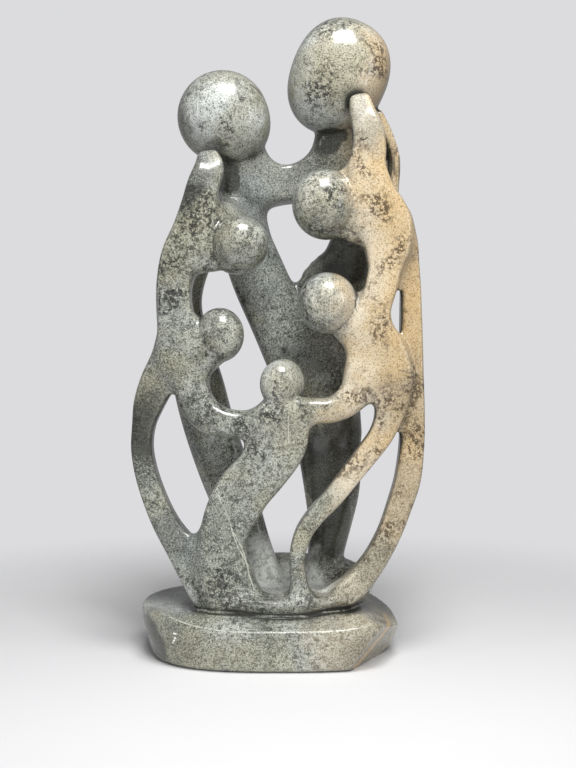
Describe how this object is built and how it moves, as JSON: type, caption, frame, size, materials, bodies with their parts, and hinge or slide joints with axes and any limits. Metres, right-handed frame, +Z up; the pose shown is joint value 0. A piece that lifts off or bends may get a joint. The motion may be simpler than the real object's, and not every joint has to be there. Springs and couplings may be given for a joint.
{
  "type": "family group sculpture",
  "caption": "Abstract stone family group: tall adults over a boat-shaped base, ribbon limbs opening into a ring of small round-headed children.",
  "frame": {"origin": "middle of the group's box on the floor plane", "axes": "+X to the viewer's right from the front, +Y towards the back, +Z up"},
  "size_m": [0.2774, 0.1688, 0.6144],
  "materials": {
    "stone": "waxed and polished serpentine, grey-green with a tan rind on the right"
  },
  "bodies": {
    "root": {"family_group": "stone"}
  },
  "joints": []
}
